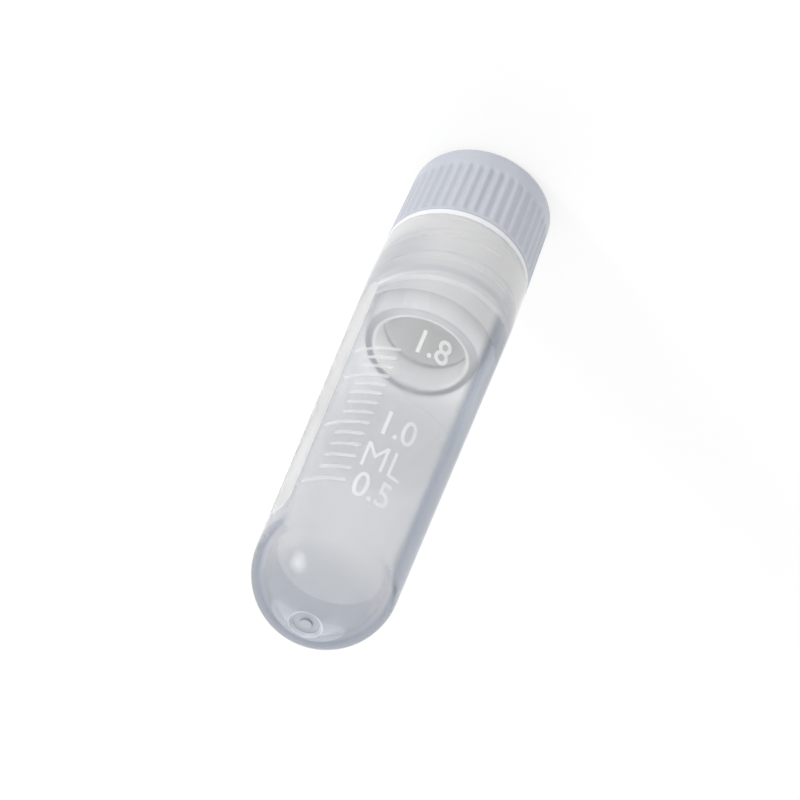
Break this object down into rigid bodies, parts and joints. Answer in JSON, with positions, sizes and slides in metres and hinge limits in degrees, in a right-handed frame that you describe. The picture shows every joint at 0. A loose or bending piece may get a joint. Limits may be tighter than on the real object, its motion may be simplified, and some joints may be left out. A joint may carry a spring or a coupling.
{
  "type": "cryovial",
  "caption": "Round-bottom freezing vial in natural plastic: moulded tube, ribbed screw cap with a hollow threaded plug, and a white washer between them.",
  "frame": {"origin": "centre of the cap's flat top, which the vial stands on upside down", "axes": "+Z along the vial's axis from the cap to the round bottom; the scale print faces -Y"},
  "size_m": [0.0126, 0.0126, 0.0518],
  "materials": {
    "cap_plastic": "natural translucent polypropylene, satin",
    "washer_silicone": "white silicone, matt",
    "tube_plastic": "natural translucent polypropylene, smooth"
  },
  "bodies": {
    "cap": {"cap": "cap_plastic"},
    "washer": {"washer": "washer_silicone"},
    "tube": {"tube": "tube_plastic"}
  },
  "joints": [
    {"name": "screw_turn", "type": "hinge", "parent": "cap", "child": "washer", "pos_m": [0, 0, 0.009], "axis": [0, 0, 1], "range_deg": [0, 1080]},
    {"name": "screw_lift", "type": "slide", "parent": "washer", "child": "tube", "axis": [0, 0, 1], "range_m": [0, 0.0165]}
  ],
  "couplings": [
    {"joint": "screw_turn", "follows": "screw_lift", "rad_per_m": 1142.4}
  ]
}
